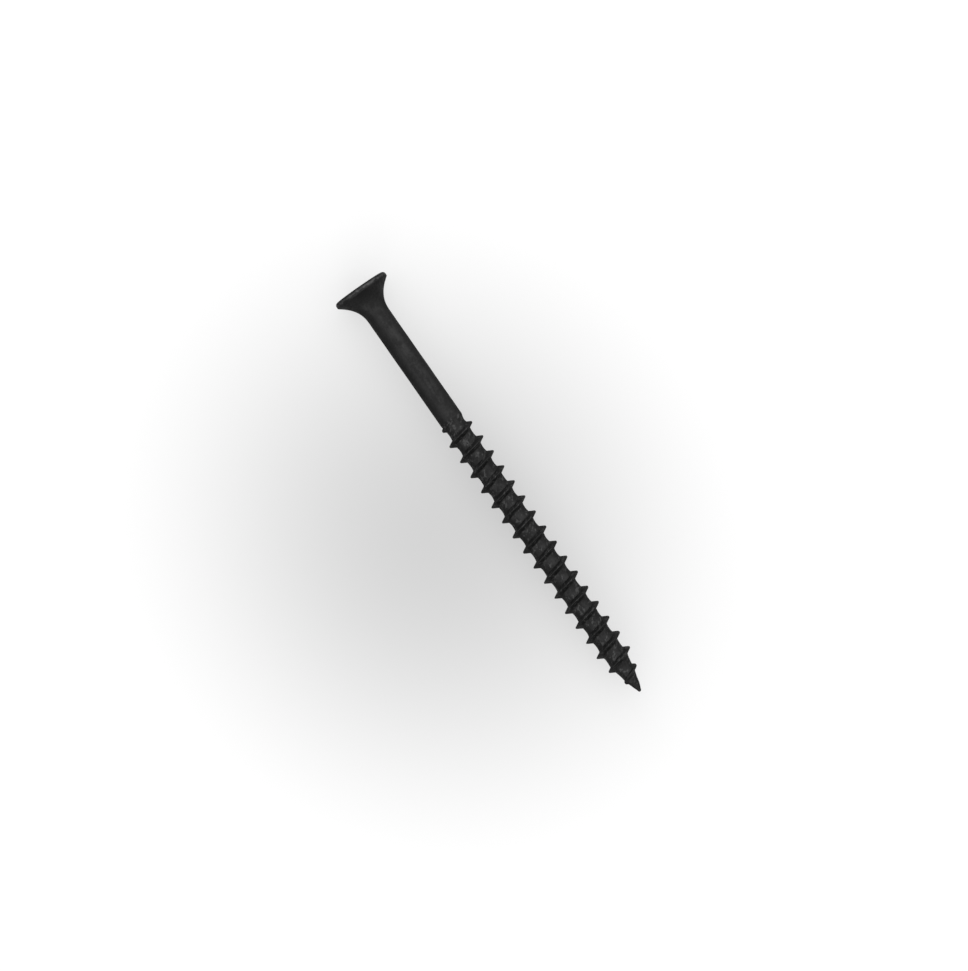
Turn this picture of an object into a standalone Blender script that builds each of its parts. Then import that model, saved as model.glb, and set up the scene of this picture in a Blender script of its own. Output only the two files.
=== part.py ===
"""A 4.8 x 70 mm wood screw: bugle head, cross recess, plain shank, coarse right-hand thread.

The screw is one solid piece of steel, so it is one object. It lies along X: the origin is the
centre of the head's flat face, +X points out of the head, and the point is at x = -LENGTH.
A depth is the distance from the head's face towards the point.
"""

import math

import bmesh
import bpy

MM = 0.001

# Driving dimensions
LENGTH = 70.0 * MM
HEAD_RADIUS = 4.25 * MM
SHANK_RADIUS = 1.74 * MM
CORE_RADIUS = 1.55 * MM
CREST_RADIUS = 2.4 * MM
PITCH = 2.614 * MM

# Head: a flat face, a rounded rim, and a bugle flare that runs into the shank as a parabola
RIM_ROUNDING = 0.38 * MM
RIM_DEPTH = 0.62 * MM
FLARE_START = 0.95 * MM
FLARE_END = 4.6 * MM
FLARE_RADIUS = 3.94 * MM
ROUNDING_STEPS = 4
FLARE_STEPS = 9

# Shank: it ends in a short cone, where the rolled thread's thinner core begins
SHANK_END = 22.8 * MM
CORE_START = 24.0 * MM

# Point: an ogive
POINT_LENGTH = 5.44 * MM
POINT_POWER = 0.68

# Thread: one right-hand ridge with a narrow flat crest
THREAD_START = 22.6 * MM
THREAD_START_ANGLE = math.radians(120)
RUN_OUT = 3.6 * MM
RUN_OUT_POWER = 0.9
CREST_TAPER = 7.3 * MM
CREST_TAPER_POWER = 1.7
CREST_HALF_WIDTH = 0.08 * MM
FLANK_SLOPE = math.tan(math.radians(32))
LEAST_FLANK = 0.1 * MM

# Cross recess for a number 2 driver
RECESS_ANGLE = math.radians(-23.4)
RECESS_HALF_SPAN = 2.58 * MM
RECESS_DEPTH = 2.75 * MM
RECESS_TIP_DEPTH = 3.2 * MM
RECESS_TIP_SHARE = 0.15
RECESS_END_TAPER = math.tan(math.radians(26.5))
WING_HALF_WIDTH = 0.55 * MM
WING_ROOT_HALF_WIDTH = 0.7 * MM
WING_DRAFT = math.tan(math.radians(3))
CORNER_RADIUS = 0.3 * MM
CORNER_STEPS = 3
CUTTER_RISE = 0.3 * MM

# Facets
SIDES = 24
HEAD_SIDES = 2 * SIDES
MERGE = 1e-7


def clear_scene():
    for obj in list(bpy.data.objects):
        bpy.data.objects.remove(obj, do_unlink=True)


def place(depth, radius, angle):
    """The point at this depth, this far from the axis. The angle turns from +Y towards +Z."""
    return (-depth, radius * math.cos(angle), radius * math.sin(angle))


def solid_object(name, bm):
    """The mesh in bm as an object in the scene, closed and facing outwards."""
    bmesh.ops.remove_doubles(bm, verts=bm.verts[:], dist=MERGE)
    bmesh.ops.recalc_face_normals(bm, faces=bm.faces[:])
    mesh = bpy.data.meshes.new(name)
    bm.to_mesh(mesh)
    bm.free()
    obj = bpy.data.objects.new(name, mesh)
    bpy.context.scene.collection.objects.link(obj)
    return obj


def rounded(centre_depth, centre_radius, size, first_degrees):
    """A quarter round of the rim's section. At 0 degrees its normal is along the face's."""
    for k in range(ROUNDING_STEPS + 1):
        turn = math.radians(first_degrees + 90 * k / ROUNDING_STEPS)
        yield (centre_depth - size * math.cos(turn), centre_radius + size * math.sin(turn))


def head_outline():
    """(depth, radius) down the rim and the flare, from the edge of the flat face to the shank."""
    under = FLARE_START - RIM_DEPTH
    yield from rounded(RIM_ROUNDING, HEAD_RADIUS - RIM_ROUNDING, RIM_ROUNDING, 0)
    yield from rounded(RIM_DEPTH, HEAD_RADIUS - under, under, 90)
    for k in range(1, FLARE_STEPS + 1):
        share = 1 - k / FLARE_STEPS
        depth = FLARE_END - (FLARE_END - FLARE_START) * share
        yield (depth, SHANK_RADIUS + (FLARE_RADIUS - SHANK_RADIUS) * share**2)


def ring(bm, depth, radius, sides):
    """Evenly spaced points round the axis, starting where the thread starts."""
    angles = [THREAD_START_ANGLE - math.tau * j / sides for j in range(sides)]
    return [bm.verts.new(place(depth, radius, angle)) for angle in angles]


def head(bm):
    """The closed end of the mesh. Returns its last ring, at the end of the flare."""
    rings = [ring(bm, depth, radius, HEAD_SIDES) for depth, radius in head_outline()]
    bm.faces.new(rings[0])
    for near, far in zip(rings, rings[1:]):
        for j in range(HEAD_SIDES):
            bm.faces.new((near[j - 1], near[j], far[j], far[j - 1]))
    return rings[-1]


def core_radius(depth):
    """The shank, the cone at its end, the thread's core, and the ogive of the point."""
    cone = max(0.0, min(1.0, (depth - SHANK_END) / (CORE_START - SHANK_END)))
    body = SHANK_RADIUS + (CORE_RADIUS - SHANK_RADIUS) * cone
    to_tip = max(0.0, min(1.0, (LENGTH - depth) / POINT_LENGTH))
    return body * to_tip**POINT_POWER


def crest_radius(depth):
    """Grows out of the shank along the run-out, keeps its size, then closes in on the point."""
    grown = max(0.0, min(1.0, (depth - THREAD_START) / RUN_OUT)) ** RUN_OUT_POWER
    run_out = SHANK_RADIUS + (CREST_RADIUS - SHANK_RADIUS) * grown
    tapered = min(1.0, max(0.0, 1 - (LENGTH - depth) / CREST_TAPER))
    return min(run_out, CREST_RADIUS * (1 - tapered**CREST_TAPER_POWER))


def thread_section(turn):
    """(depth, radius) across one pitch, this many turns along the ridge: the middle of the groove
    on the head's side, then the ridge's foot, both edges of its crest, and its other foot."""
    middle = THREAD_START + PITCH * turn
    crest = max(crest_radius(middle), core_radius(middle))
    half_foot = CREST_HALF_WIDTH + max(LEAST_FLANK, (crest - core_radius(middle)) * FLANK_SLOPE)
    for offset in (-PITCH / 2, -half_foot, -CREST_HALF_WIDTH, CREST_HALF_WIDTH, half_foot):
        depth = min(middle + offset, LENGTH)
        on_crest = abs(offset) == CREST_HALF_WIDTH and depth < LENGTH
        yield (depth, crest if on_crest else core_radius(depth))


def threaded_body(bm, last_of_head):
    """The shank, the thread and the point, as one ribbon of faces wound on a helix.

    The ribbon is one pitch wide, and each turn's lower edge is the next turn's upper edge. It
    starts a turn before the ridge, where all of it is plain shank, and it runs past the point,
    where all of it shrinks into the tip."""
    first_step = -SIDES
    last_step = math.ceil(SIDES * (LENGTH - THREAD_START + PITCH / 2) / PITCH)
    columns = {}
    for step in range(first_step, last_step + 1):
        angle = THREAD_START_ANGLE - math.tau * step / SIDES
        section = thread_section(step / SIDES)
        columns[step] = [bm.verts.new(place(*point, angle)) for point in section]
    tip = columns[last_step]
    for step in range(last_step + 1, last_step + 1 + SIDES):
        columns[step] = tip
    for step in range(first_step, last_step):
        near = columns[step] + columns[step + SIDES][:1]
        far = columns[step + 1] + columns[step + 1 + SIDES][:1]
        for a, b, c, d in zip(near, far, far[1:], near[1:]):
            corners = list(dict.fromkeys((a, b, c, d)))
            if len(corners) > 2:
                bm.faces.new(corners)
    shank = ring(bm, THREAD_START - 2 * PITCH, SHANK_RADIUS, SIDES)
    for j in range(SIDES):
        k = (j + 1) % SIDES
        bm.faces.new((*last_of_head[2 * j : 2 * j + 2], last_of_head[2 * k], shank[k], shank[j]))
        upper = [columns[first_step + j][0], columns[first_step + j + 1][0]]
        seam = columns[first_step][::-1] if k == 0 else []
        bm.faces.new((shank[k], shank[j], *upper, *seam))


def cross_outline(depth):
    """A cross at this depth: four tapering wings with rounded corners between them."""
    half_span = RECESS_HALF_SPAN - depth * RECESS_END_TAPER
    half_width = WING_HALF_WIDTH - depth * WING_DRAFT
    corner_centre = WING_ROOT_HALF_WIDTH - depth * WING_DRAFT + CORNER_RADIUS
    points = []
    for wing in range(4):
        outline = [(half_span, -half_width), (half_span, half_width)]
        for k in range(CORNER_STEPS + 1):
            turn = math.radians(270 - 90 * k / CORNER_STEPS)
            x = corner_centre + CORNER_RADIUS * math.cos(turn)
            y = corner_centre + CORNER_RADIUS * math.sin(turn)
            outline.append((x, y))
        wing_angle = RECESS_ANGLE + wing * math.radians(90)
        for x, y in outline:
            points.append(place(depth, math.hypot(x, y), wing_angle + math.atan2(y, x)))
    return points


def driver_recess():
    """The cutter: a cross that narrows with depth, then closes to a small blunt end on the axis."""
    bm = bmesh.new()
    floor = cross_outline(RECESS_DEPTH)
    tip = [(-RECESS_TIP_DEPTH, y * RECESS_TIP_SHARE, z * RECESS_TIP_SHARE) for _, y, z in floor]
    rings = [[bm.verts.new(p) for p in points] for points in (cross_outline(-CUTTER_RISE), floor, tip)]
    for near, far in zip(rings, rings[1:]):
        for i in range(len(near)):
            bm.faces.new((near[i - 1], near[i], far[i], far[i - 1]))
    bm.faces.new(rings[0])
    bm.faces.new(rings[-1])
    return solid_object("driver_recess", bm)


def cut(target, cutter):
    """A live Boolean on target. The cutter stays in the scene as a wire guide."""
    modifier = target.modifiers.new(cutter.name, "BOOLEAN")
    modifier.operation = "DIFFERENCE"
    modifier.object = cutter
    cutter.hide_render = True
    cutter.display_type = "WIRE"


def black_phosphate():
    """Matte black phosphated steel with a trace of oil."""
    material = bpy.data.materials.new("black_phosphate")
    material.use_nodes = True
    shader = material.node_tree.nodes["Principled BSDF"]
    shader.inputs["Base Color"].default_value = (0.03, 0.03, 0.031, 1)
    shader.inputs["Roughness"].default_value = 0.5
    shader.inputs["Metallic"].default_value = 0.6
    return material


def main():
    clear_scene()
    bm = bmesh.new()
    threaded_body(bm, head(bm))
    screw = solid_object("screw", bm)
    cut(screw, driver_recess())
    screw.data.materials.append(black_phosphate())
    screw.data.shade_smooth()
    screw.data.set_sharp_from_angle(angle=math.radians(30))


main()
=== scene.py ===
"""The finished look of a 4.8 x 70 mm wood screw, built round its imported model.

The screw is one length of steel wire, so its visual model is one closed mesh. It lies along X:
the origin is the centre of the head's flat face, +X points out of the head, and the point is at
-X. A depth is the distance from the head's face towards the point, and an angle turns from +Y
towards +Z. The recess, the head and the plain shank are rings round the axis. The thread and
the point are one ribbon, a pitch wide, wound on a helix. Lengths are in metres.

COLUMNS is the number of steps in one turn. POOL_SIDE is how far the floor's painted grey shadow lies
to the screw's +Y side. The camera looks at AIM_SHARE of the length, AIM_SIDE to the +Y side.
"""

import logging
import math
from dataclasses import dataclass, field
from enum import Enum

import bmesh
import bpy
import numpy as np
from mathutils import Euler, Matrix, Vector


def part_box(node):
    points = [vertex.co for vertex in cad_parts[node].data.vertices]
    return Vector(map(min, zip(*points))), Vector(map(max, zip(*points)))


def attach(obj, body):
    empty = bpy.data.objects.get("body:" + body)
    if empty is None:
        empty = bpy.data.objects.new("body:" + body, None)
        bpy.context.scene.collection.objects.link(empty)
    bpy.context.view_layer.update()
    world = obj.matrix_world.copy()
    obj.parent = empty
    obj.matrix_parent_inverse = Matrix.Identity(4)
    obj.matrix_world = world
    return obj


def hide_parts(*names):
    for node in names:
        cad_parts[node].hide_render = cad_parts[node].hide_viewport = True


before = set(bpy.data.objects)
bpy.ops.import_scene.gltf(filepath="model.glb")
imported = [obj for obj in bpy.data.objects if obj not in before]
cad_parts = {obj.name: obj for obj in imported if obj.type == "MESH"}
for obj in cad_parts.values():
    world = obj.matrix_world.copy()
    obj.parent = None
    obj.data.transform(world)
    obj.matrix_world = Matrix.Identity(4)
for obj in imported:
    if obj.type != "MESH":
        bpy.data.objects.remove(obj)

LOG = logging.getLogger("wood_screw")
NODE = "screw"
BODY = "root"
MM = 0.001
WELD = 0.0002 * MM
COLUMNS = 120
POOL_SIDE = 12 * MM
AIM_SHARE = 0.4749
AIM_SIDE = 1.52 * MM


class Layer(Enum):
    """The mesh attributes that the finishes read, each from 0 to 1 at a point."""

    # Wear on exposed edges; the band round the rim is also a painted highlight.
    WORN = "worn"
    # Painted shade: how far the coat is darkened in the recess, under the rim, at the thread's feet and in
    # the point's pinch lines.
    HOLLOW = "hollow"
    ROLLED = "rolled"


class Surface(Enum):
    """The finishes on the screw, as the places of their materials on its mesh."""

    COAT = 0
    PUNCHED = 1


class Effect(Enum):
    """The shader groups that the finishes share."""

    MOTTLING = "mottling"
    CRYSTALS = "crystal_grain"
    DRAWN_LINES = "drawn_lines"
    EDGE_WEAR = "edge_wear"
    RUB_MARKS = "rub_marks"


def round_axis(depth: np.ndarray, radius: np.ndarray, angle: np.ndarray) -> np.ndarray:
    """Points on rings round the axis: (-depth, radius times cosine, radius times sine).

    Args:
        depth: Distance of each point from the head's face.
        radius: Distance of each point from the axis.
        angle: Angle of each point, from +Y towards +Z.

    Returns:
        The points, with a last dimension of 3.
    """
    parts = np.broadcast_arrays(-depth, radius * np.cos(angle), radius * np.sin(angle))
    return np.stack(parts, axis=-1)


def smooth_min(one: np.ndarray, other: np.ndarray, width: np.ndarray) -> np.ndarray:
    """The smaller of two surfaces, with the corner where they cross rounded off.

    Where they differ by less than the width, they are blended by the share
    s = 1/2 + (other - one) / (2 width), and width * s * (1 - s) is taken away.

    Args:
        one: The first surface's values.
        other: The second surface's values.
        width: How far apart the two may be where the rounding starts.

    Returns:
        The blended values.
    """
    share = np.clip(0.5 + 0.5 * (other - one) / width, 0, 1)
    return other + (one - other) * share - width * share * (1 - share)


def smooth_max(one: np.ndarray, other: np.ndarray, width: np.ndarray) -> np.ndarray:
    """The larger of two surfaces, with a fillet in the corner where they cross."""
    return -smooth_min(-one, -other, width)


def smooth_step(value: np.ndarray) -> np.ndarray:
    """An even rise from 0 to 1 as the value goes from 0 to 1: 3 v squared - 2 v cubed."""
    share = np.clip(value, 0, 1)
    return share * share * (3 - 2 * share)


def bell(value: np.ndarray) -> np.ndarray:
    """A bell shape, 1 at 0 and almost 0 from 2 onwards: e to the power of minus v squared."""
    return np.exp(-(value**2))


@dataclass(frozen=True)
class Waviness:
    """The unevenness of rolled and pickled steel, as waves that cross in all directions.

    Each wave's own length is the length times a number between the two of spread.
    """

    seed: int
    length: float
    waves: int = 28
    spread: tuple[float, float] = (0.6, 1.6)

    def at(self, points: np.ndarray) -> np.ndarray:
        """The height at each point: the sum of sin(wave vector . point + phase) over the waves.

        Args:
            points: Any array of points, with a last dimension of 3.

        Returns:
            Heights mostly between -1 and 1, in the shape of the points.
        """
        draws = np.random.default_rng(self.seed)
        directions = draws.normal(size=(self.waves, 3))
        directions /= np.linalg.norm(directions, axis=1, keepdims=True)
        numbers = math.tau / (self.length * draws.uniform(*self.spread, self.waves))
        phases = draws.uniform(0, math.tau, self.waves)
        turns = points @ (directions * numbers[:, None]).T + phases
        return np.sin(turns).sum(axis=-1) / math.sqrt(2 * self.waves)


@dataclass(frozen=True)
class Patch:
    """One stretch of the screw's surface, on a grid of rows and columns.

    points holds rows x columns x 3 numbers. Each layer is rows x columns.
    """

    points: np.ndarray
    layers: dict[Layer, np.ndarray]
    surface: Surface = Surface.COAT

    def values(self, layer: Layer) -> np.ndarray:
        """A layer at each point, from 0 to 1: 0 everywhere if the patch doesn't name it."""
        given = self.layers.get(layer, 0.0)
        return np.clip(np.broadcast_to(given, self.points.shape[:2]), 0, 1)

    def quads(self) -> np.ndarray:
        """The corners of each cell of the grid.

        Returns:
            Four places among the patch's own points for each cell.
        """
        rows, columns = self.points.shape[:2]
        place = np.arange(rows * columns).reshape(rows, columns)
        corners = (place[:-1, :-1], place[:-1, 1:], place[1:, 1:], place[1:, :-1])
        return np.stack(corners, axis=-1).reshape(-1, 4)


@dataclass
class DriverRecess:
    """The punched cross recess for a number 2 driver, from its blunt floor up to its lip."""

    angle: float = math.radians(-23.4)
    half_span: float = 2.6 * MM
    half_width: float = 0.54 * MM
    side_slope: float = 0.085
    floor_depth: float = 2.75 * MM
    tip_depth: float = 3.2 * MM
    tip_share: float = 0.15
    end_taper: float = math.tan(math.radians(26.5))
    draft: float = math.tan(math.radians(3))
    end_sharpness: float = 20.0
    corner_sharpness: float = 6.5
    lip: float = 0.06 * MM
    burr_waviness: Waviness = Waviness(seed=44, length=2.4 * MM)
    burr_level: float = 0.62
    burr_spread: float = 0.3
    burr_reach: float = 0.15 * MM
    wall_shade: float = 0.5
    shade_start: float = 0.8
    trial_steps: int = 24 * COLUMNS
    floor_rows: int = 7
    wall_rows: int = 10
    lip_rows: int = 4

    def reach(self, turn: np.ndarray, depth: float) -> np.ndarray:
        """How far the wall is from the axis, for a turn away from the first wing's middle.

        A wing is a power blend of its end, span / cos, and of its two sides, which close in
        slightly outwards: root / (sin + slope * cos). The cross is the power blend of two
        wings at right angles, which rounds the corners between them.

        Args:
            turn: Angles from the middle of a wing.
            depth: Distance below the head's face.

        Returns:
            The distances from the axis.
        """
        span = self.half_span - depth * self.end_taper
        root = self.half_width + self.side_slope * self.half_span - depth * self.draft
        along, across = np.abs(np.cos(turn)), np.abs(np.sin(turn))

        def wing(forward: np.ndarray, sideways: np.ndarray) -> np.ndarray:
            """The reach of the wing that points this way.

            Args:
                forward: The turn's share along the wing.
                sideways: The turn's share across the wing.

            Returns:
                The distances from the axis.
            """
            end = forward / span
            side = (sideways + self.side_slope * forward) / root
            power = self.end_sharpness
            return (end**power + side**power) ** (-1 / power)

        power = self.corner_sharpness
        return (wing(along, across) ** power + wing(across, along) ** power) ** (1 / power)

    def turns(self) -> np.ndarray:
        """The turns at which the outline is cut into columns.

        Each step covers the same sum of its share of the outline's length and its share of
        the outline's bending, so that the corners get as many columns as they need.

        Returns:
            The turn of each column, from 0 to a whole turn.
        """
        turn = np.linspace(0, math.tau, self.trial_steps + 1)
        reach = self.reach(turn, 0)
        steps = np.stack((np.diff(reach * np.cos(turn)), np.diff(reach * np.sin(turn))))
        length = np.hypot(*steps)
        heading = np.unwrap(np.arctan2(steps[1], steps[0]))
        bend = np.abs(np.diff(heading, prepend=heading[0]))
        travelled = np.cumsum(length / length.sum() + bend / bend.sum()) / 2
        shares = np.linspace(0, 1, COLUMNS + 1)
        return np.interp(shares, np.concatenate(([0], travelled)), turn)

    def outline(self, depth: float, growth: float = 0.0) -> np.ndarray:
        """The cross at a depth, grown outwards along its own normals.

        Args:
            depth: Distance below the head's face.
            growth: How far each point moves outwards, away from the recess's middle.

        Returns:
            (y, z) of each column's point, the last one equal to the first.
        """
        turn = self.turns()
        reach = self.reach(turn, depth)
        angle = self.angle - turn
        flat = np.stack((reach * np.cos(angle), reach * np.sin(angle)), axis=-1)
        tangent = np.roll(flat[:-1], -1, axis=0) - np.roll(flat[:-1], 1, axis=0)
        tangent /= np.linalg.norm(tangent, axis=1, keepdims=True)
        outward = np.stack((-tangent[:, 1], tangent[:, 0]), axis=-1)
        return flat + growth * np.concatenate((outward, outward[:1]))

    def burr(self, points: np.ndarray) -> np.ndarray:
        """How worn the burr on the lip is, at points on the recess or round it."""
        return self.burr_level + self.burr_spread * self.burr_waviness.at(points)

    def patch(self) -> Patch:
        """The floor, the walls and the rounded lip, row by row from the middle outwards.

        The floor rises smoothly from its blunt tip, the walls taper evenly, and the lip is a
        quarter round.

        Returns:
            The recess as a grid, worn at its lip, with painted shade all over it that is darkest at its
            floor.
        """
        floor = self.outline(self.floor_depth)
        share = np.linspace(0, 1, self.floor_rows + 1)
        rise = smooth_step((share - self.tip_share) / (1 - self.tip_share))
        sunk = self.tip_depth + (self.floor_depth - self.tip_depth) * rise
        rows = [np.insert(floor * part, 0, -depth, axis=1) for part, depth in zip(share, sunk)]
        for part in np.linspace(0, 1, self.wall_rows + 1)[1:]:
            depth = self.floor_depth + (self.lip - self.floor_depth) * part
            rows.append(np.insert(self.outline(depth), 0, -depth, axis=1))
        for part in np.linspace(0, math.pi / 2, self.lip_rows + 1)[1:]:
            depth = self.lip * (1 - math.sin(part))
            edge = self.outline(depth, self.lip * (1 - math.cos(part)))
            rows.append(np.insert(edge, 0, -depth, axis=1))
        points = np.stack(rows)
        level = -points[..., 0]
        worn = smooth_step(1 - level / self.burr_reach) * self.burr(points)
        # Painted shade: half strength from the lip down, rising to full over the deepest fifth of the
        # walls and on the floor.
        deep = smooth_step((level / self.floor_depth - self.shade_start) / (1 - self.shade_start))
        hollow = self.wall_shade + (1 - self.wall_shade) * deep
        return Patch(points, {Layer.WORN: worn, Layer.HOLLOW: hollow}, Surface.PUNCHED)


@dataclass
class BugleHead:
    """The flat face round the recess, the rolled rim and the flare that runs into the shank."""

    radius: float
    shank_radius: float = 1.76 * MM
    edge_rounding: float = 0.48 * MM
    rim_depth: float = 0.68 * MM
    under_rounding: float = 0.25 * MM
    flare_start: float = 0.883 * MM
    flare_end: float = 5.2 * MM
    flare_radius: float = 4.145 * MM
    flare_power: float = 2.52
    face_rows: int = 6
    edge_rows: int = 7
    under_rows: int = 5
    flare_rows: int = 22
    nicks: int = 13
    nick_widths: tuple[float, float] = (0.15 * MM, 0.48 * MM)
    nick_depths: tuple[float, float] = (0.018 * MM, 0.06 * MM)
    nick_height: float = 0.6
    nick_easing: float = 0.1 * MM
    seed: int = 11
    waviness: Waviness = Waviness(seed=3, length=2.2 * MM)
    wear_waviness: Waviness = Waviness(seed=5, length=0.9 * MM)
    unevenness: float = 0.007 * MM
    top_easing: float = 0.3 * MM
    end_easing: float = 1.0 * MM
    lip_wear_reach: float = 0.1 * MM
    edge_wear: float = 0.7
    edge_wear_start: float = 0.93
    # The rim's band of wear and painted highlight: its level, spread, depth and reach.
    rim_wear: float = 0.85
    rim_wear_spread: float = 0.3
    rim_wear_depth: float = 0.442 * MM
    rim_wear_reach: float = 0.27 * MM
    nick_shade: float = 4.0 / MM
    wander: float = 0.07 * MM
    under_shade: float = 0.75
    under_shade_spread: float = 0.6
    under_depth: float = 0.903 * MM
    under_reach: float = 0.11 * MM

    def face(self, recess: DriverRecess, angles: np.ndarray) -> Patch:
        """The flat ring: straight lines from the recess's lip to the rim's evenly spaced points.

        Args:
            recess: The recess that the ring goes round.
            angles: The angles of one turn of columns.

        Returns:
            The ring as a grid, worn along the lip and towards the rim.
        """
        inner = recess.outline(0, recess.lip)
        flat = self.radius - self.edge_rounding
        outer = flat * np.stack((np.cos(angles), np.sin(angles)), axis=-1)
        share = smooth_step(np.linspace(0, 1, self.face_rows + 1))[:, None, None]
        ring = inner + (outer - inner) * share
        points = np.concatenate((np.zeros(ring.shape[:2] + (1,)), ring), axis=2)
        reach = np.linalg.norm(ring, axis=2)
        near_lip = np.exp(-np.linalg.norm(ring - inner, axis=2) / self.lip_wear_reach)
        near_edge = (reach / flat - self.edge_wear_start) / (1 - self.edge_wear_start)
        worn = np.maximum(near_lip * recess.burr(points), smooth_step(near_edge) * self.edge_wear)
        return Patch(points, {Layer.WORN: worn})

    def section(self) -> tuple[np.ndarray, np.ndarray]:
        """The head's outline from the face to the shank.

        A quarter round, a short straight rim, a smaller round, and a flare whose radius falls
        with a power of the distance to its end.

        Returns:
            The depths and the radii, each a column of numbers.
        """
        top = np.linspace(0, math.pi / 2, self.edge_rows + 1)
        growth = self.flare_radius - self.shank_radius
        slope = self.flare_power * growth / (self.flare_end - self.flare_start)
        low = math.pi / 2 + np.linspace(0, math.atan(slope), self.under_rows + 1)
        share = np.linspace(1, 0, self.flare_rows + 1)[1:]
        depths = (
            self.edge_rounding * (1 - np.cos(top)),
            self.rim_depth - self.under_rounding * np.cos(low),
            self.flare_end - (self.flare_end - self.flare_start) * share,
        )
        radii = (
            self.radius - self.edge_rounding * (1 - np.sin(top)),
            self.radius - self.under_rounding * (1 - np.sin(low)),
            self.shank_radius + growth * share**self.flare_power,
        )
        return np.concatenate(depths)[:, None], np.concatenate(radii)[:, None]

    def dents(self, depth: np.ndarray, angles: np.ndarray) -> np.ndarray:
        """How far the rim's small nicks go in: bell shapes at seeded places round the rim.

        Args:
            depth: The depths of the rows.
            angles: The angles of the columns.

        Returns:
            The depth of the nicks at each row and column.
        """
        draws = np.random.default_rng(self.seed)
        place = draws.uniform(0, math.tau, self.nicks)
        level = draws.uniform(0.0, self.rim_depth, self.nicks)
        width = draws.uniform(*self.nick_widths, self.nicks)
        size = draws.uniform(*self.nick_depths, self.nicks)
        apart = (angles[None, :, None] - place + math.pi) % math.tau - math.pi
        across = bell(apart * self.radius / width)
        along = bell((depth[..., None] - level) / (self.nick_height * width))
        return (size * across * along).sum(axis=-1)

    def patch(self, angles: np.ndarray) -> Patch:
        """The rim and the flare, slightly uneven, with nicks on the rim.

        The radius at each point is the section's, less the nicks, less a small unevenness that
        fades towards the face and the shank.

        Args:
            angles: The angles of one turn of columns.

        Returns:
            The rim and the flare as a grid, worn on the rim, where the worn band is also a painted
            highlight, and with painted shade just under it.
        """
        depth, radius = self.section()
        dents = self.dents(depth, angles)
        base = round_axis(depth, radius, angles)
        uneven = (self.waviness.at(base) - 1) * self.unevenness
        uneven *= smooth_step(depth / self.top_easing)
        uneven *= smooth_step((self.flare_end - depth) / self.end_easing)
        points = round_axis(depth, radius - dents * smooth_step(depth / self.nick_easing) + uneven, angles)

        ragged = self.wear_waviness.at(base)
        below = depth - self.wander * ragged
        # The band round the rim is partly wear and partly a painted highlight, set at the depth where the
        # top light's highlight falls; the nicks take less of it.
        level = self.rim_wear + self.rim_wear_spread * ragged[:, ::-1] - self.nick_shade * dents
        worn = bell((below - self.rim_wear_depth) / self.rim_wear_reach) * level
        # Painted shade: a ragged dark line in the crease just under the rim.
        shade = self.under_shade - self.under_shade_spread * ragged
        hollow = bell((below - self.under_depth) / self.under_reach) * shade
        return Patch(points, {Layer.WORN: worn, Layer.HOLLOW: hollow})


@dataclass
class PlainShank:
    """The unthreaded wire between the flare and the thread."""

    radius: float
    start: float
    end: float
    rows: int = 30
    waviness: Waviness = Waviness(seed=8, length=3.5 * MM)
    unevenness: float = 0.008 * MM
    end_easing: float = 1.5 * MM

    def patch(self, angles: np.ndarray) -> Patch:
        """A cylinder that swells and narrows by a few thousandths of a millimetre.

        Args:
            angles: The angles of one turn of columns.

        Returns:
            The shank as a grid, with its first and last rings true to size.
        """
        depth = np.linspace(self.start, self.end, self.rows + 1)[:, None]
        base = round_axis(depth, self.radius, angles)
        ends = (depth - self.start) * (self.end - depth) / self.end_easing**2
        swell = self.waviness.at(base) * self.unevenness * smooth_step(ends)
        points = round_axis(depth, self.radius + swell, angles)
        return Patch(points, {})


@dataclass(frozen=True)
class RidgeLine:
    """The ridge at each step round the helix. Every field is a column, a number for each step."""

    angle: np.ndarray
    middle: np.ndarray
    crest: np.ndarray
    shift: np.ndarray
    half_width: np.ndarray
    upper: np.ndarray
    lower: np.ndarray


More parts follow.
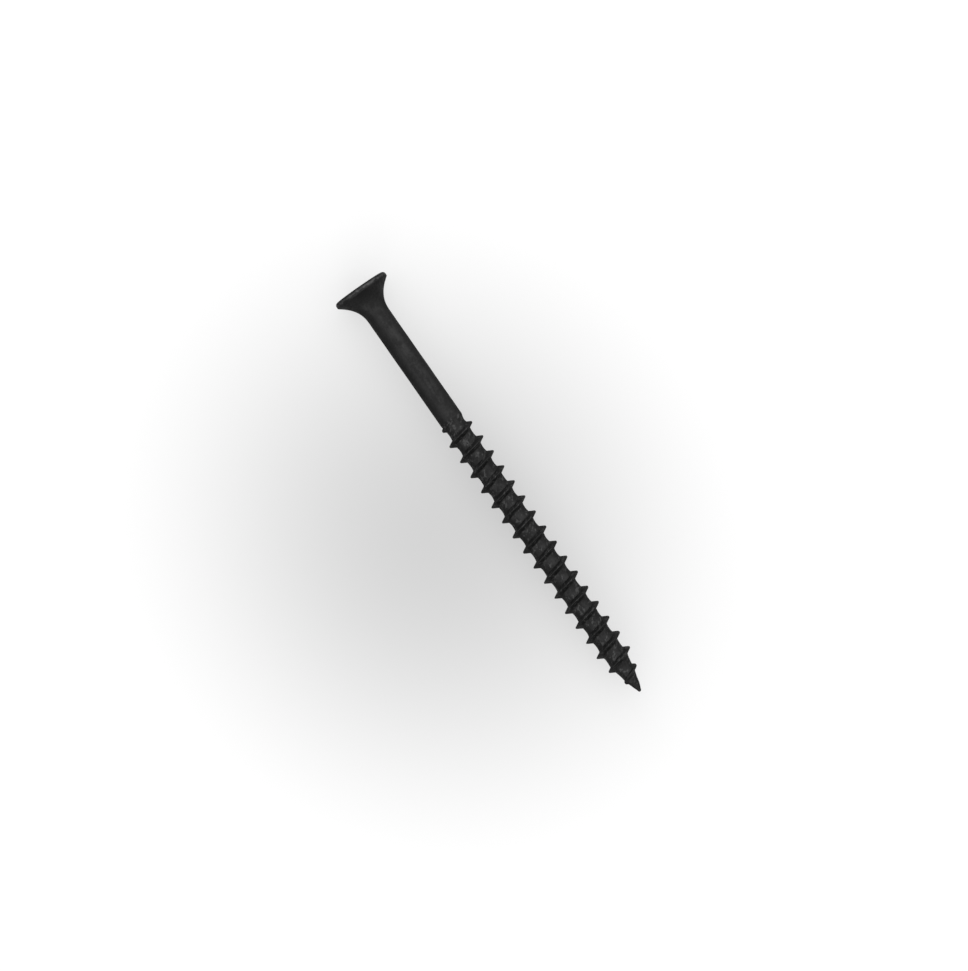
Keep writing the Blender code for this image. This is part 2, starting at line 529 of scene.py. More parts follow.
@dataclass
class RolledThread:
    """The thread, its core and the point: one ribbon of surface, a pitch wide, on a helix.

    Each turn's lower edge is the next turn's upper edge. The ribbon starts above the thread,
    where its points are held on the shank's last ring, and it runs on past the point, where
    they are all held at the tip.
    """

    length: float
    shank_radius: float
    ribbon_start: float
    pitch: float = 2.614 * MM
    crest_radius: float = 2.45 * MM
    waist_radius: float = 1.52 * MM
    foot_radius: float = 1.63 * MM
    core_cone: tuple[float, float] = (22.8 * MM, 24.0 * MM)
    start: float = 22.55 * MM
    start_angle: float = math.radians(120)
    run_out: float = 3.0 * MM
    run_out_power: float = 0.75
    run_out_easing: float = 0.2
    buried: float = -0.5
    lag: float = 0.2 * MM
    lag_length: float = 3.6 * MM
    crest_half_width: float = 0.05 * MM
    blunt_half_width: float = 0.07 * MM
    head_side_slope: float = math.tan(math.radians(27))
    point_side_slope: float = math.tan(math.radians(28))
    crest_rounding: float = 0.05 * MM
    crest_margin: float = 0.015 * MM
    foot_rounding: float = 0.09 * MM
    outer_margin: float = 0.11 * MM
    inner_margin: float = 0.077 * MM
    least_height: float = 0.35 * MM
    least_share: float = 0.05
    point_length: float = 5.44 * MM
    point_power: float = 0.63
    nose: float = 0.26 * MM
    crest_taper: float = 6.8 * MM
    crest_power: float = 1.7
    fade: float = 0.9 * MM
    fade_depth: float = 0.3 * MM
    tip_easing: float = 0.15 * MM
    past_tip: float = 0.7 * MM
    rows: tuple[int, ...] = (4, 4, 3, 4, 3, 4, 4)
    crest_waviness: Waviness = Waviness(seed=21, length=1.9 * MM)
    root_waviness: Waviness = Waviness(seed=34, length=0.8 * MM)
    pinch_waviness: Waviness = Waviness(seed=55, length=0.4 * MM)
    crest_unevenness: float = 0.02 * MM
    root_unevenness: float = 0.018 * MM
    pinch_stretch: tuple[float, float, float] = (0.2, 1.0, 1.0)
    pinch_depth: float = 0.06 * MM
    pinch_shade: float = 2.2
    wander: float = 0.022 * MM
    crest_wear: float = 0.5
    wear_reach: float = 0.09 * MM
    core_reach: float = 0.25 * MM
    foot_shade: float = 0.75
    foot_shade_spread: float = 0.6
    foot_shade_reach: float = 0.13 * MM
    rolled_start: float = 22.5 * MM
    rolled_easing: float = 0.6 * MM
    rolled_ridge: float = 0.6

    def to_tip(self, depth: np.ndarray) -> np.ndarray:
        """How much of its full size the core has on the point.

        The larger of two shapes: a power of the share of the point that is left, and a round
        nose, the root of left * (2 * nose - left) over the core's radius.

        Args:
            depth: Distance of each point from the head's face.

        Returns:
            The shares, from 0 at the tip to 1 above the point.
        """
        left = np.maximum(self.length - depth, 0)
        point = np.minimum(left / self.point_length, 1) ** self.point_power
        nose = np.sqrt(np.maximum(left * (2 * self.nose - left), 0)) / self.foot_radius
        return np.maximum(point, nose)

    def core(self, depth: np.ndarray, to_foot: np.ndarray) -> np.ndarray:
        """The surface between the ridges: shank, cone, hourglass-shaped groove and point.

        Args:
            depth: Distance of each point from the head's face.
            to_foot: 0 in the middle of the groove and 1 at the foot of the ridge.

        Returns:
            The distances from the axis.
        """
        first, last = self.core_cone
        rolled = smooth_step((depth - first) / (last - first))
        groove = self.waist_radius + (self.foot_radius - self.waist_radius) * to_foot**2
        body = self.shank_radius + (groove - self.shank_radius) * rolled
        return body * self.to_tip(depth)

    def grown(self, middle: np.ndarray) -> np.ndarray:
        """The share of the run-out that lies behind, below 0 where the ridge hasn't started."""
        return np.clip((middle - self.start) / self.run_out, self.buried, 1)

    def closed(self, middle: np.ndarray) -> np.ndarray:
        """The share of the crest's taper that lies behind, from 0 on the full thread to 1."""
        return np.clip(1 - (self.length - middle) / self.crest_taper, 0, 1)

    def crest(self, middle: np.ndarray) -> np.ndarray:
        """The ridge's height along its length.

        It comes up out of the shank by a power of the share of the run-out, keeps its size,
        and closes in on the point by a power of the distance, sinking into the core at the tip.

        Args:
            middle: Depth of the middle of the ridge.

        Returns:
            The crest's distance from the axis.
        """
        grown = self.grown(middle)
        eased = np.abs(grown) ** self.run_out_power * smooth_step(grown / self.run_out_easing)
        grown = np.where(grown > 0, eased, grown)
        rise = self.shank_radius + (self.crest_radius - self.shank_radius) * grown
        fall = self.crest_radius * (1 - self.closed(middle) ** self.crest_power)
        sunk = self.fade_depth * (1 - np.clip((self.length - middle) / self.fade, 0, 1))
        return np.minimum(rise, fall) - sunk

    def ridge_line(self, angles: np.ndarray) -> RidgeLine:
        """Follows the ridge from the start of the ribbon until all of it is past the tip.

        Args:
            angles: The angles of one turn of columns, as on the shank's rings.

        Returns:
            The ridge at each step, with its crest uneven and wandering a little to each side.
        """
        per_turn = len(angles) - 1
        turned = (self.start_angle - angles[0]) / math.tau
        above = (self.ribbon_start - self.start) / self.pitch - 0.5 - turned
        below = (self.length + self.past_tip - self.start) / self.pitch + 0.5 - turned
        steps = np.arange(math.floor(above * per_turn), math.ceil(below * per_turn) + 1)
        angle = (angles[0] - math.tau * steps / per_turn)[:, None]
        middle = (self.start + self.pitch * (turned + steps / per_turn))[:, None]

        line = round_axis(middle, self.crest_radius, angle)[:, 0]
        crest = self.crest(middle)
        proud = np.clip((crest - self.shank_radius * self.to_tip(middle)) / self.least_height, 0, 1)
        crest = crest + self.crest_waviness.at(line)[:, None] * self.crest_unevenness * proud
        shift = self.crest_waviness.at(line[:, ::-1])[:, None] * self.wander * proud
        shift = shift + self.lag * smooth_step(1 - (middle - self.start) / self.lag_length)
        unfinished = np.maximum(1 - self.grown(middle), self.closed(middle))
        half_width = self.crest_half_width + self.blunt_half_width * unfinished
        height = np.maximum(crest - self.core(middle, np.ones_like(middle)), self.least_height)
        upper = half_width + height * self.head_side_slope
        lower = half_width + height * self.point_side_slope
        return RidgeLine(angle, middle, crest, shift, half_width, upper, lower)

    def offsets(self, line: RidgeLine) -> np.ndarray:
        """The rows of the ribbon, closer together at the ridge's feet and on its crest.

        Args:
            line: The ridge that the rows follow.

        Returns:
            The distance of each row below the ridge's middle, for each step of the helix.
        """
        half = np.full_like(line.middle, self.pitch / 2)
        edge = line.half_width + self.crest_margin
        marks = (
            -half,
            line.shift - line.upper - self.outer_margin,
            line.shift - line.upper + self.inner_margin,
            line.shift - edge,
            line.shift + edge,
            line.shift + line.lower - self.inner_margin,
            line.shift + line.lower + self.outer_margin,
            half,
        )
        marks = np.concatenate(marks, axis=1)
        cuts = [mark + np.arange(count) / count for mark, count in enumerate(self.rows)]
        position = np.append(np.concatenate(cuts), len(self.rows))
        first = np.minimum(position.astype(int), len(self.rows) - 1)
        share = position - first
        return marks[:, first] * (1 - share) + marks[:, first + 1] * share

    def pinched(self, base: np.ndarray, depth: np.ndarray) -> np.ndarray:
        """The lines that pinching left along the point: waves stretched along the axis."""
        return self.pinch_waviness.at(base * self.pinch_stretch) * (1 - self.to_tip(depth))

    def unevenness(self, base: np.ndarray, depth: np.ndarray) -> np.ndarray:
        """The rough floor of the groove, and the lines along the point.

        Args:
            base: The points on the smooth core.
            depth: Their depths.

        Returns:
            How far each point is from its smooth place.
        """
        below_shank = (depth - self.ribbon_start) / (self.core_cone[1] - self.ribbon_start)
        rough = self.root_waviness.at(base) * self.root_unevenness * smooth_step(below_shank)
        return (rough + self.pinched(base, depth) * self.pinch_depth) * self.to_tip(depth)

    def patch(self, angles: np.ndarray) -> Patch:
        """The ribbon: columns are steps round the helix, and rows go across one pitch.

        The ridge is the smaller of its crest and its two straight flanks, and the surface is
        the larger of the ridge and the core, each with its corners rounded.

        Args:
            angles: The angles of one turn of columns, as on the shank's rings.

        Returns:
            The ribbon as a grid, with its loose ends folded onto the shank's ring and the tip.
        """
        line = self.ridge_line(angles)
        offset = self.offsets(line)
        beside = offset - line.shift
        wound = np.maximum(line.middle + offset, self.ribbon_start)
        left = (self.length - wound) / self.tip_easing
        depth = self.length - self.tip_easing * np.logaddexp(0, left)
        foot = np.where(beside < 0, line.upper, line.lower)
        half = self.pitch / 2
        core = self.core(depth, np.clip((half - np.abs(offset)) / (half - foot), 0, 1))
        flank = line.crest + np.minimum(
            (line.half_width + beside) / self.head_side_slope,
            (line.half_width - beside) / self.point_side_slope,
        )
        small = np.maximum(self.to_tip(line.middle), self.least_share)
        ridge = smooth_min(line.crest, flank, self.crest_rounding * small)
        radius = smooth_max(core, ridge, self.foot_rounding * small)
        on_core = 1 - smooth_step((radius - core) / self.core_reach)
        base = round_axis(depth, core, line.angle)
        radius = radius + self.unevenness(base, depth) * on_core
        past = wound >= self.length + self.past_tip
        radius = np.where(past, 0, radius)
        depth = np.where(past, self.length, depth)

        height = np.clip((line.crest - core) / self.least_height, 0, 1)
        near_crest = smooth_step((radius - line.crest + self.wear_reach) / self.wear_reach)
        # Painted shade: dark lines along the ridge's feet and in the pinch lines on the point.
        at_foot = bell((np.abs(beside) - foot) / self.foot_shade_reach)
        shade = self.foot_shade + self.foot_shade_spread * self.root_waviness.at(base[..., ::-1])
        grooves = -self.pinch_shade * self.pinched(base, depth)
        below_shank = smooth_step((depth - self.rolled_start) / self.rolled_easing)
        layers = {
            Layer.WORN: self.crest_wear * near_crest * height,
            Layer.HOLLOW: np.maximum(at_foot * shade * height, grooves * on_core),
            Layer.ROLLED: below_shank * (self.rolled_ridge + (1 - self.rolled_ridge) * on_core),
        }
        return Patch(round_axis(depth, radius, line.angle), layers)


class Wiring:
    """Adds nodes to one node tree and joins them."""

    def __init__(self, tree: bpy.types.NodeTree) -> None:
        """Starts on a tree that is kept as it is."""
        self.tree = tree

    def node(self, kind: str, **settings: object) -> bpy.types.Node:
        """A new node of a kind, with its settings.

        Args:
            kind: The node's type name, without its ShaderNode prefix.
            settings: The node's own properties by name.

        Returns:
            The node.
        """
        made = self.tree.nodes.new(kind if kind.startswith("NodeGroup") else f"ShaderNode{kind}")
        for name, value in settings.items():
            setattr(made, name, value)
        return made

    def feed(self, socket: bpy.types.NodeSocket, value: object) -> None:
        """Joins another socket to this one, or sets its value.

        Args:
            socket: The input to fill.
            value: The other socket, or a number, colour or vector.
        """
        if isinstance(value, bpy.types.NodeSocket):
            self.tree.links.new(value, socket)
        else:
            socket.default_value = value

    def sum(self, operation: str, *values: object) -> bpy.types.NodeSocket:
        """The result of a sum.

        Args:
            operation: The Math node's operation.
            values: One to three numbers or sockets.

        Returns:
            The socket that holds the result.
        """
        made = self.node("Math", operation=operation)
        for socket, value in zip(made.inputs, values):
            self.feed(socket, value)
        return made.outputs[0]

    def span(
        self, value: object, low: float, high: float, start: object = 0.0, end: object = 1.0
    ) -> bpy.types.NodeSocket:
        """A smooth change from start to end as a value goes from low to high.

        Args:
            value: The number or socket that drives the change.
            low: The value at which the change begins.
            high: The value at which it is over.
            start: The result up to low.
            end: The result from high onwards.

        Returns:
            The socket that holds the result.
        """
        made = self.node("MapRange", interpolation_type="SMOOTHSTEP")
        for socket, given in zip(made.inputs, (value, low, high, start, end)):
            self.feed(socket, given)
        return made.outputs[0]

    def blend(self, share: object, first: object, second: object) -> bpy.types.NodeSocket:
        """A colour between two colours.

        Args:
            share: 0 for the first colour and 1 for the second, as a number or socket.
            first: The first colour.
            second: The second colour.

        Returns:
            The socket that holds the colour.
        """
        made = self.node("Mix", data_type="RGBA")
        self.feed(made.inputs["Factor"], share)
        self.feed(made.inputs["A"], first)
        self.feed(made.inputs["B"], second)
        return made.outputs["Result"]

    def noise(
        self, vector: object, scale: object, detail: float, roughness: float = 0.5
    ) -> bpy.types.NodeSocket:
        """Cloudy noise about 0.5.

        Args:
            vector: The place, as a socket.
            scale: How many clouds there are to a metre.
            detail: How many finer layers lie on the clouds.
            roughness: How strong each finer layer is against the one before it.

        Returns:
            The socket that holds the noise.
        """
        made = self.node("TexNoise")
        self.feed(made.inputs["Vector"], vector)
        self.feed(made.inputs["Scale"], scale)
        made.inputs["Detail"].default_value = detail
        made.inputs["Roughness"].default_value = roughness
        return made.outputs["Fac"]


@dataclass
class EffectLibrary:
    """Makes each shared shader group once, and places it in the finishes.

    A span holds the two noise levels between which a mask goes from 0 to 1. A finer noise is
    so many times as fine as the one that gives its effect its size.
    """

    cloud_share: float = 0.65
    finer_clouds: float = 3.7
    cloud_span: tuple[float, float] = (0.36, 0.64)
    finer_crystals: float = 1.6
    crystal_share: float = -0.6
    crystal_span: tuple[float, float] = (0.05, 0.45)
    line_span: tuple[float, float] = (0.3, 0.7)
    bare_span: tuple[float, float] = (0.0, 0.45)
    exposed_span: tuple[float, float] = (0.0, 0.2)
    smear_slant: tuple[float, float, float] = (0.0, 0.5, -0.65)
    smear_stretch: tuple[float, float, float] = (2.1, 0.83, 0.83)
    smear_span: tuple[float, float] = (0.54, 0.65)
    finer_pits: float = 1.4
    pit_span: tuple[float, float] = (0.58, 0.68)
    groups: dict[Effect, bpy.types.NodeTree] = field(init=False)

    def __post_init__(self) -> None:
        """Builds every group."""
        self.groups = {
            Effect.MOTTLING: self.mottling(),
            Effect.CRYSTALS: self.crystal_grain(),
            Effect.DRAWN_LINES: self.drawn_lines(),
            Effect.EDGE_WEAR: self.edge_wear(),
            Effect.RUB_MARKS: self.rub_marks(),
        }

    @staticmethod
    def start(
        effect: Effect, takes: tuple[str, ...], gives: tuple[str, ...]
    ) -> tuple[Wiring, dict[str, bpy.types.NodeSocket], bpy.types.Node]:
        """A new group with its named sockets.

        Args:
            effect: The effect that the group makes.
            takes: The names of the inputs that follow Vector, which are all numbers.
            gives: The names of the outputs, which are all numbers.

        Returns:
            The group's wiring, its input sockets by name and its output node.
        """
        tree = bpy.data.node_groups.new(effect.value, "ShaderNodeTree")
        tree.interface.new_socket(name="Vector", in_out="INPUT", socket_type="NodeSocketVector")
        for name in takes:
            tree.interface.new_socket(name=name, in_out="INPUT", socket_type="NodeSocketFloat")
        for name in gives:
            tree.interface.new_socket(name=name, in_out="OUTPUT", socket_type="NodeSocketFloat")
        wiring = Wiring(tree)
        given = dict(wiring.node("NodeGroupInput").outputs.items())
        return wiring, given, wiring.node("NodeGroupOutput")

    def mottling(self) -> bpy.types.NodeTree:
        """Soft pale patches: two sizes of cloudy noise, cut off smoothly.

        Returns:
            The group, whose mask is 1 on a patch.
        """
        wiring, given, end = self.start(Effect.MOTTLING, ("Size",), ("Mask",))
        scale = wiring.sum("DIVIDE", 1.0, given["Size"])
        large = wiring.noise(given["Vector"], scale, detail=3, roughness=0.6)
        finer = wiring.sum("MULTIPLY", scale, self.finer_clouds)
        small = wiring.noise(given["Vector"], finer, detail=2)
        large = wiring.sum("MULTIPLY", large, self.cloud_share)
        both = wiring.sum("MULTIPLY_ADD", small, 1 - self.cloud_share, large)
        wiring.feed(end.inputs["Mask"], wiring.span(both, *self.cloud_span))
        return wiring.tree

    def crystal_grain(self) -> bpy.types.NodeTree:
        """The coat's crystals: rounded cells broken up by fine noise.

        Returns:
            The group, whose mask is 1 on a crystal, and whose height is a relief for bumps.
        """
        wiring, given, end = self.start(Effect.CRYSTALS, ("Size",), ("Mask", "Height"))
        scale = wiring.sum("DIVIDE", 1.0, given["Size"])
        cells = wiring.node("TexVoronoi", feature="SMOOTH_F1")
        wiring.feed(cells.inputs["Vector"], given["Vector"])
        wiring.feed(cells.inputs["Scale"], scale)
        finer = wiring.sum("MULTIPLY", scale, self.finer_crystals)
        fine = wiring.noise(given["Vector"], finer, detail=4, roughness=0.7)
        height = wiring.sum("MULTIPLY_ADD", cells.outputs["Distance"], self.crystal_share, fine)
        wiring.feed(end.inputs["Height"], height)
        wiring.feed(end.inputs["Mask"], wiring.span(height, *self.crystal_span))
        return wiring.tree

    def drawn_lines(self) -> bpy.types.NodeTree:
        """Faint lines along the wire: noise that is stretched along X.

        Returns:
            The group, whose mask is 1 on a line.
        """
        wiring, given, end = self.start(Effect.DRAWN_LINES, ("Length", "Width"), ("Mask",))
        parts = wiring.node("SeparateXYZ")
        wiring.feed(parts.inputs[0], given["Vector"])
        stretched = wiring.node("CombineXYZ")
        wiring.feed(stretched.inputs["X"], wiring.sum("DIVIDE", parts.outputs["X"], given["Length"]))
        for side in ("Y", "Z"):
            across = wiring.sum("DIVIDE", parts.outputs[side], given["Width"])
            wiring.feed(stretched.inputs[side], across)
        lines = wiring.noise(stretched.outputs[0], 1.0, detail=3)
        wiring.feed(end.inputs["Mask"], wiring.span(lines, *self.line_span))
        return wiring.tree

    def edge_wear(self) -> bpy.types.NodeTree:
        """Where an exposed edge has lost its coat: the exposure, made ragged by noise.

        Returns:
            The group, whose mask is 1 on bare steel.
        """
        takes = ("Exposure", "Size", "Raggedness", "Threshold")
        wiring, given, end = self.start(Effect.EDGE_WEAR, takes, ("Mask",))
        scale = wiring.sum("DIVIDE", 1.0, given["Size"])
        noise = wiring.noise(given["Vector"], scale, detail=4, roughness=0.65)
        ragged = wiring.sum("SUBTRACT", noise, 0.5)
        reached = wiring.sum("MULTIPLY_ADD", ragged, given["Raggedness"], given["Exposure"])
        over = wiring.sum("SUBTRACT", reached, given["Threshold"])
        bare = wiring.span(over, *self.bare_span)
        exposed = wiring.span(given["Exposure"], *self.exposed_span)
        wiring.feed(end.inputs["Mask"], wiring.sum("MULTIPLY", bare, exposed))
        return wiring.tree

    def rub_marks(self) -> bpy.types.NodeTree:
        """Small pale smears, longer than they are wide, and small dark pits between them.

        Returns:
            The group, with one mask that is 1 on a smear and one that is 1 in a pit.
        """
        wiring, given, end = self.start(Effect.RUB_MARKS, ("Size",), ("Rubbed", "Pitted"))
        scale = wiring.sum("DIVIDE", 1.0, given["Size"])
        slant = wiring.node("Mapping", vector_type="TEXTURE")
        slant.inputs["Rotation"].default_value = self.smear_slant
        slant.inputs["Scale"].default_value = self.smear_stretch
        wiring.feed(slant.inputs["Vector"], given["Vector"])
        smears = wiring.noise(slant.outputs[0], scale, detail=2, roughness=0.6)
        wiring.feed(end.inputs["Rubbed"], wiring.span(smears, *self.smear_span))
        finer = wiring.sum("MULTIPLY", scale, self.finer_pits)
        pits = wiring.noise(given["Vector"], finer, detail=1)
        wiring.feed(end.inputs["Pitted"], wiring.span(pits, *self.pit_span))
        return wiring.tree

    def place(self, wiring: Wiring, effect: Effect, **values: object) -> bpy.types.Node:
        """Puts a group into a material and fills its inputs.

        Args:
            wiring: The material's wiring.
            effect: Which group.
            values: The inputs by name, each a number or a socket.

        Returns:
            The group's node.
        """
        made = wiring.node("Group", node_tree=self.groups[effect])
        made.label = effect.value
        for name, value in values.items():
            wiring.feed(made.inputs[name], value)
        return made


@dataclass(frozen=True)
class PhosphateFinish:
    """Black phosphate on steel, oiled and dried: matt, slightly mottled, bare on worn edges, and darkened
    by painted shade.
    """

    name: str
    dark: float
    pale: float
    # The grey of the pits, and of the painted shade.
    hollow_shade: float
    bare: float
    mottle_size: float = 1.5 * MM
    grain_size: float = 0.16 * MM
    grain_share: float = 0.25
    line_length: float = 9.0 * MM
    line_width: float = 0.35 * MM
    line_depth: float = 0.25
    wear_size: float = 0.45 * MM
    raggedness: float = 1.3
    threshold: float = 0.55
    rough: tuple[float, float] = (0.62, 0.4)
    rough_span: tuple[float, float] = (0.1, 0.9)
    specular: float = 0.32
    bare_metallic: float = 0.65
    bump_depth: float = 0.016 * MM
    bump_strength: float = 0.9
    line_relief: float = 0.5
    mottle_relief: float = 0.8
    mark_size: float = 0.5 * MM
    rubbed: float = 0.055
    plain_marks: float = 0.05
    rolled_marks: float = 0.85
    hollow_strength: float = 0.8

    def grey(self, value: float) -> tuple[float, float, float, float]:
        """The neutral grey of this brightness, as a colour."""
        return (value, value, value, 1.0)

    def material(self, effects: EffectLibrary) -> bpy.types.Material:
        """Builds the material from the shared groups.

        Args:
            effects: The library of shared groups.

        Returns:
            The finished material.
        """
        made = bpy.data.materials.new(self.name)
        made.use_nodes = True
        wiring = Wiring(made.node_tree)
        shader = made.node_tree.nodes["Principled BSDF"]
        vector = wiring.node("TexCoord").outputs["Object"]
        worn, hollow, rolled = (
            wiring.node("Attribute", attribute_name=layer.value).outputs["Fac"]
            for layer in (Layer.WORN, Layer.HOLLOW, Layer.ROLLED)
        )
        mottle = effects.place(wiring, Effect.MOTTLING, Vector=vector, Size=self.mottle_size)
        grain = effects.place(wiring, Effect.CRYSTALS, Vector=vector, Size=self.grain_size)
        lines = effects.place(
            wiring, Effect.DRAWN_LINES, Vector=vector, Length=self.line_length, Width=self.line_width
        )
        bare = effects.place(
            wiring,
            Effect.EDGE_WEAR,
            Vector=vector,
            Exposure=worn,
            Size=self.wear_size,
            Raggedness=self.raggedness,
            Threshold=self.threshold,
        ).outputs["Mask"]

        cloud = wiring.sum("MULTIPLY", mottle.outputs["Mask"], 1 - self.grain_share)
        cloud = wiring.sum("MULTIPLY_ADD", grain.outputs["Mask"], self.grain_share, cloud)
        line = wiring.sum("SUBTRACT", lines.outputs["Mask"], 0.5)
        cloud = wiring.sum("MULTIPLY_ADD", line, self.line_depth, cloud)
        coat = wiring.blend(cloud, self.grey(self.dark), self.grey(self.pale))
        marks = effects.place(wiring, Effect.RUB_MARKS, Vector=vector, Size=self.mark_size)
        share = wiring.span(rolled, 0.0, 1.0, self.plain_marks, self.rolled_marks)
        for mark, shade in (("Rubbed", self.rubbed), ("Pitted", self.hollow_shade)):
            marked = wiring.sum("MULTIPLY", marks.outputs[mark], share)
            coat = wiring.blend(marked, coat, self.grey(shade))
        # Painted shade: the coat goes towards the dark grey where the painted shade layer says.
        shaded = wiring.sum("MULTIPLY", hollow, self.hollow_strength)
        coat = wiring.blend(shaded, coat, self.grey(self.hollow_shade))
        # Bare steel where worn; in the rim's band this is also a painted highlight.
        wiring.feed(shader.inputs["Base Color"], wiring.blend(bare, coat, self.grey(self.bare)))
        wiring.feed(shader.inputs["Metallic"], wiring.sum("MULTIPLY", bare, self.bare_metallic))
        wiring.feed(shader.inputs["Roughness"], wiring.span(cloud, *self.rough_span, *self.rough))
        shader.inputs["Specular IOR Level"].default_value = self.specular
        relief = grain.outputs["Height"]
        relief = wiring.sum("MULTIPLY_ADD", lines.outputs["Mask"], self.line_relief, relief)
        relief = wiring.sum("MULTIPLY_ADD", mottle.outputs["Mask"], self.mottle_relief, relief)
        bump = wiring.node("Bump")
        bump.inputs["Strength"].default_value = self.bump_strength
        bump.inputs["Distance"].default_value = self.bump_depth
        wiring.feed(bump.inputs["Height"], relief)
        wiring.feed(shader.inputs["Normal"], bump.outputs["Normal"])
        return made


@dataclass
class Screw:
    """The whole screw: its stretches of surface, welded into one closed mesh and dressed."""

    length: float
    head_radius: float
    ribbon_start: float = 19.5 * MM
    recess: DriverRecess = field(default_factory=DriverRecess)
    sharp_angle: float = math.radians(50)
    coat: PhosphateFinish = PhosphateFinish(
        "black_phosphate", dark=0.0018, pale=0.0098, hollow_shade=0.001, bare=0.074
    )
    # The recess's own finish with less sheen, its greys lighter than the coat's as painted light on the
    # recess's shaded walls.
    punched: PhosphateFinish = PhosphateFinish(
        "recess_with_painted_light", dark=0.016, pale=0.03, hollow_shade=0.004, bare=0.1, specular=0.12
    )

    def patches(self) -> list[Patch]:
        """The stretches of surface that make up the screw.

        Returns:
            The recess, the face, the head, the shank and the thread, in that order.
        """
        angles = self.recess.angle - np.linspace(0, math.tau, COLUMNS + 1)
        head = BugleHead(self.head_radius)
        shank = PlainShank(head.shank_radius, head.flare_end, self.ribbon_start)
        thread = RolledThread(self.length, head.shank_radius, self.ribbon_start)
        return [
            self.recess.patch(),
            head.face(self.recess, angles),
            head.patch(angles),
            shank.patch(angles),
            thread.patch(angles),
        ]

    def mesh(self) -> bpy.types.Mesh:
        """The patches as one mesh, with their attributes, welded and facing outwards.

        Returns:
            The closed mesh, smooth but for its sharp edges.
        """
        patches = self.patches()
        points = np.concatenate([p.points.reshape(-1, 3) for p in patches])
        starts = np.cumsum([0] + [p.points[..., 0].size for p in patches])
        quads = np.concatenate([p.quads() + start for p, start in zip(patches, starts)])
        places = np.concatenate([np.full(len(p.quads()), p.surface.value) for p in patches])
        mesh = bpy.data.meshes.new("screw_body")
        mesh.from_pydata(points, [], quads)
        mesh.polygons.foreach_set("material_index", places)
        for layer in Layer:
            values = np.concatenate([p.values(layer).ravel() for p in patches])
            attribute = mesh.attributes.new(layer.value, "FLOAT", "POINT")
            attribute.data.foreach_set("value", values.astype(np.float32))
        bm = bmesh.new()
        bm.from_mesh(mesh)
        bmesh.ops.remove_doubles(bm, verts=bm.verts[:], dist=WELD)
        bmesh.ops.recalc_face_normals(bm, faces=bm.faces[:])
        bm.to_mesh(mesh)
        bm.free()
        mesh.shade_smooth()
        mesh.set_sharp_from_angle(angle=self.sharp_angle)
        return mesh

    def build(self, effects: EffectLibrary) -> bpy.types.Object:
        """Makes the screw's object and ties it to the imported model.

        Args:
            effects: The library of shared groups.

        Returns:
            The screw.
        """
        piece = bpy.data.objects.new("screw_body", self.mesh())
        bpy.context.scene.collection.objects.link(piece)
        for finish in (self.coat, self.punched):
            piece.data.materials.append(finish.material(effects))
        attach(piece, BODY)
        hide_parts(NODE)
        return piece


@dataclass
class PaleFloor:
    """The white table that the screw lies on, a little greyer in a painted soft shadow round the screw."""

    height: float
    centre: tuple[float, float]
    half_size: float = 4.0
    pool: tuple[float, float] = (56 * MM, 51 * MM)
    white: float = 0.3
    # The painted shadow's grey at its centre.
    grey: float = 0.196
    far_white: float = 0.2
    far: float = 5.0
    glow: float = 2.3
    roughness: float = 0.9

    def build(self) -> bpy.types.Object:
        """A square sheet whose own glow keeps the shadows on it light.

        Returns:
            The floor.
        """
        near, far = -self.half_size, self.half_size
        square = ((near, near), (far, near), (far, far), (near, far))
        corners = [(x, y, self.height) for x, y in square]
        mesh = bpy.data.meshes.new("floor")
        mesh.from_pydata(corners, [], [(0, 1, 2, 3)])
        mesh.materials.append(self.material())
        floor = bpy.data.objects.new("floor", mesh)
        bpy.context.scene.collection.objects.link(floor)
        return floor

    def material(self) -> bpy.types.Material:
        """White paper, with a painted shadow whose grey fades smoothly with the distance from its centre.

        The glow is only for the camera, so it puts no light on the screw.

        Returns:
            The finished material.
        """
        made = bpy.data.materials.new("white_table")
        made.use_nodes = True
        wiring = Wiring(made.node_tree)
        shader = made.node_tree.nodes["Principled BSDF"]
        turn = wiring.node("Mapping", vector_type="TEXTURE")
        turn.inputs["Location"].default_value = (*self.centre, self.height)
        turn.inputs["Scale"].default_value = (*self.pool, 1.0)
        wiring.feed(turn.inputs["Vector"], wiring.node("TexCoord").outputs["Object"])
        distance = wiring.node("VectorMath", operation="LENGTH")
        wiring.feed(distance.inputs[0], turn.outputs[0])
        # Painted shadow: grey at its centre and white from its edge outwards, in both the colour and the
        # glow.
        level = wiring.span(distance.outputs["Value"], 0.0, 1.0, self.grey, self.white)
        far = wiring.span(distance.outputs["Value"], 1.0, self.far, 0.0, self.far_white)
        wiring.feed(shader.inputs["Base Color"], level)
        wiring.feed(shader.inputs["Emission Color"], wiring.sum("ADD", level, far))
        seen = wiring.node("LightPath").outputs["Is Camera Ray"]
        wiring.feed(shader.inputs["Emission Strength"], wiring.sum("MULTIPLY", seen, self.glow))
        shader.inputs["Roughness"].default_value = self.roughness
        shader.inputs["Specular IOR Level"].default_value = 0.0
        return made


@dataclass(frozen=True)
class Softbox:
    """A square area light, at a place beside the screw's middle and turned towards it."""

    name: str
    place: tuple[float, float, float]
    size: float
    power: float

    def build(self, aim: Vector) -> bpy.types.Object:
        """Makes the light, which the camera doesn't see.

        Args:
            aim: The point that the light is turned towards.

        Returns:
            The light.
        """
        data = bpy.data.lights.new(self.name, "AREA")
        data.size = self.size
        data.energy = self.power
        box = bpy.data.objects.new(self.name, data)
        box.location = aim + Vector(self.place)
        box.rotation_mode = "QUATERNION"
        box.rotation_quaternion = (-Vector(self.place)).to_track_quat("-Z", "Y")
        box.visible_camera = False
        bpy.context.scene.collection.objects.link(box)
        return box


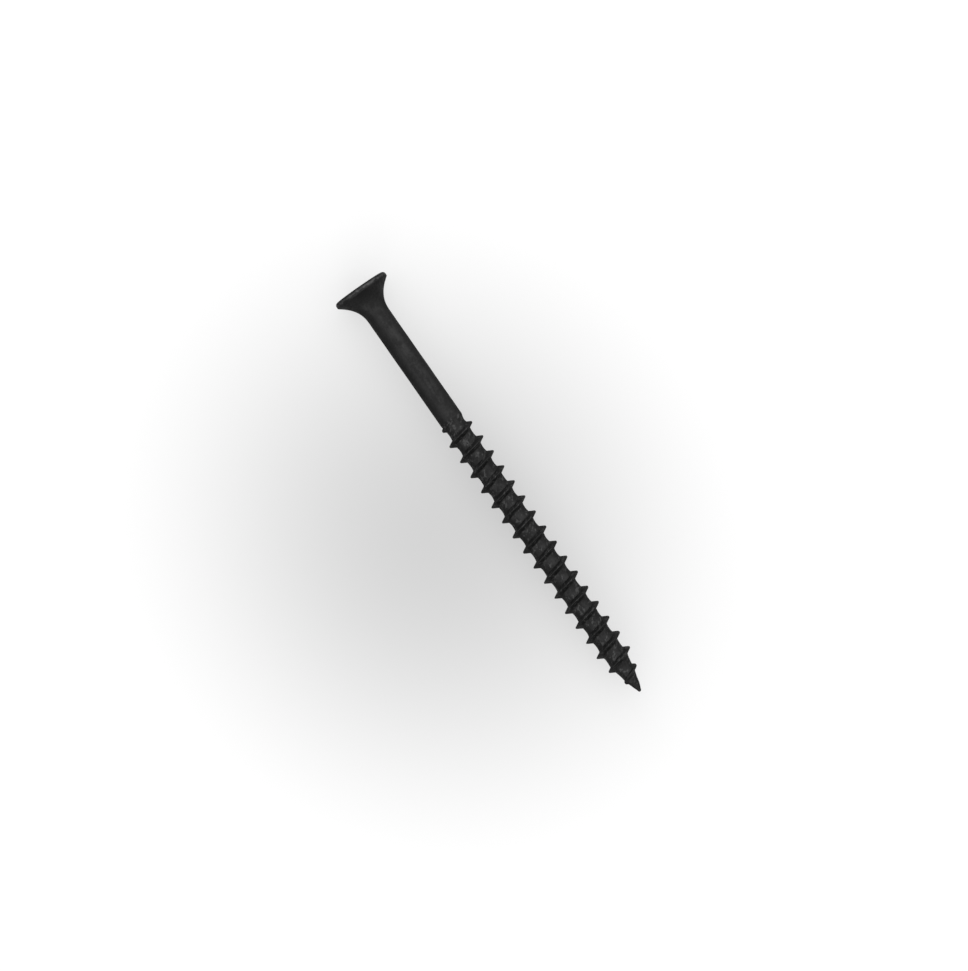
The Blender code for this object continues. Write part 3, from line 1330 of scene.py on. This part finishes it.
@dataclass
class Studio:
    """Soft studio light: a tent of light that is dimmer near the horizon, and three softboxes."""

    zenith: float = 0.97
    horizon: float = 0.15
    bright_side: tuple[float, float, float] = (0.25, -0.25, 0.93)
    span: tuple[float, float] = (-0.3, 0.85)
    white: float = 1.0
    softboxes: tuple[Softbox, ...] = (
        Softbox("key_softbox", (0.08, -0.14, 0.34), 0.4, 0.34),
        Softbox("fill_softbox", (-0.2, 0.2, 0.17), 0.2, 0.22),
        Softbox("head_softbox", (0.36, -0.08, 0.14), 0.2, 0.28),
    )

    def tent(self) -> None:
        """The world: brighter overhead than at the horizon, and plain white where it is seen."""
        world = bpy.data.worlds.new("tent")
        world.use_nodes = True
        wiring = Wiring(world.node_tree)
        light = world.node_tree.nodes["Background"]
        facing = wiring.node("VectorMath", operation="DOT_PRODUCT")
        wiring.feed(facing.inputs[0], wiring.node("TexCoord").outputs["Generated"])
        facing.inputs[1].default_value = Vector(self.bright_side).normalized()
        level = wiring.span(facing.outputs["Value"], *self.span, self.horizon, self.zenith)
        wiring.feed(light.inputs["Color"], level)
        seen = wiring.node("Background")
        seen.inputs["Color"].default_value = (self.white, self.white, self.white, 1)
        mix = wiring.node("MixShader")
        wiring.feed(mix.inputs[0], wiring.node("LightPath").outputs["Is Camera Ray"])
        wiring.feed(mix.inputs[1], light.outputs[0])
        wiring.feed(mix.inputs[2], seen.outputs[0])
        wiring.feed(world.node_tree.nodes["World Output"].inputs["Surface"], mix.outputs[0])
        bpy.context.scene.world = world


@dataclass
class TopCamera:
    """A long lens straight above the screw, turned so that the screw runs across the corner."""

    aim: Vector
    height: float = 0.7676
    lens: float = 200.0
    turn: float = math.radians(235.14)

    def build(self) -> bpy.types.Object:
        """Makes the camera and puts it to use.

        Returns:
            The camera.
        """
        data = bpy.data.cameras.new("camera")
        data.lens = self.lens
        camera = bpy.data.objects.new("camera", data)
        camera.location = self.aim + Vector((0, 0, self.height))
        camera.rotation_euler = Euler((0, 0, self.turn))
        bpy.context.scene.collection.objects.link(camera)
        bpy.context.scene.camera = camera
        return camera


def main() -> None:
    """Builds the screw, the floor, the lights and the camera."""
    logging.basicConfig(level=logging.INFO, format="%(name)s: %(message)s")
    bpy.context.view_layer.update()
    low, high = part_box(NODE)
    bpy.context.scene.view_settings.view_transform = "Standard"

    screw = Screw(length=-low.x, head_radius=high.y).build(EffectLibrary())
    LOG.info("%s: %d faces", screw.name, len(screw.data.polygons))

    middle = low.x / 2
    floor = PaleFloor(height=low.z, centre=(middle, POOL_SIDE)).build()
    LOG.info("%s at z = %.5f", floor.name, low.z)

    aim = Vector((AIM_SHARE * low.x, AIM_SIDE, 0))
    studio = Studio()
    studio.tent()
    for softbox in studio.softboxes:
        LOG.info("%s lights the screw", softbox.build(Vector((middle, 0, 0))).name)
    LOG.info("%s looks down at x = %.5f", TopCamera(aim).build().name, aim.x)


if __name__ == "__main__":
    main()
